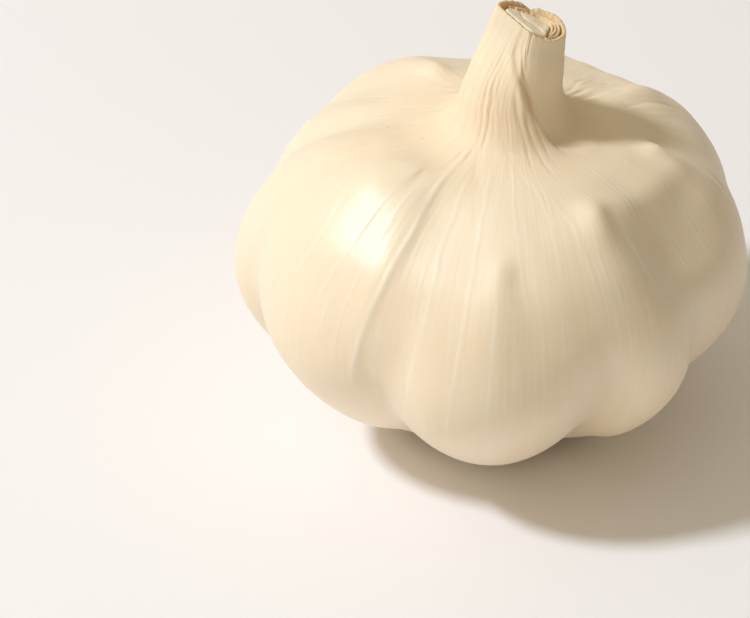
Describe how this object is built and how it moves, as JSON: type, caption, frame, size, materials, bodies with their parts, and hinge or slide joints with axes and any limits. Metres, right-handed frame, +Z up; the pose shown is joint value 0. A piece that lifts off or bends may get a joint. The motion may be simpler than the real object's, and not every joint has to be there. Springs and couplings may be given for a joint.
{
  "type": "garlic bulb",
  "caption": "Whole garlic bulb in its papery outer skin, swollen over the cloves inside, with the dried neck cut short and slanting and the roots trimmed to stubs.",
  "frame": {"origin": "centre of the flat underside of the root plate, which the bulb stands on", "axes": "+Z up through the neck, -Y towards the front of the bulb, +X to the side the neck leans and its cut end falls to"},
  "size_m": [0.0602, 0.0591, 0.0552],
  "materials": {
    "outer_skin": "dry papery skin, off-white and cream, with a soft sheen",
    "inner_sheath": "dry tan sheath, matt",
    "leaf_base": "pale dried leaf base, matt",
    "root_plate": "corky, dry and matt"
  },
  "bodies": {
    "root": {"bulb": "outer_skin", "neck_wrap": "inner_sheath", "neck_core": "leaf_base", "root_plate": "root_plate"}
  },
  "joints": []
}
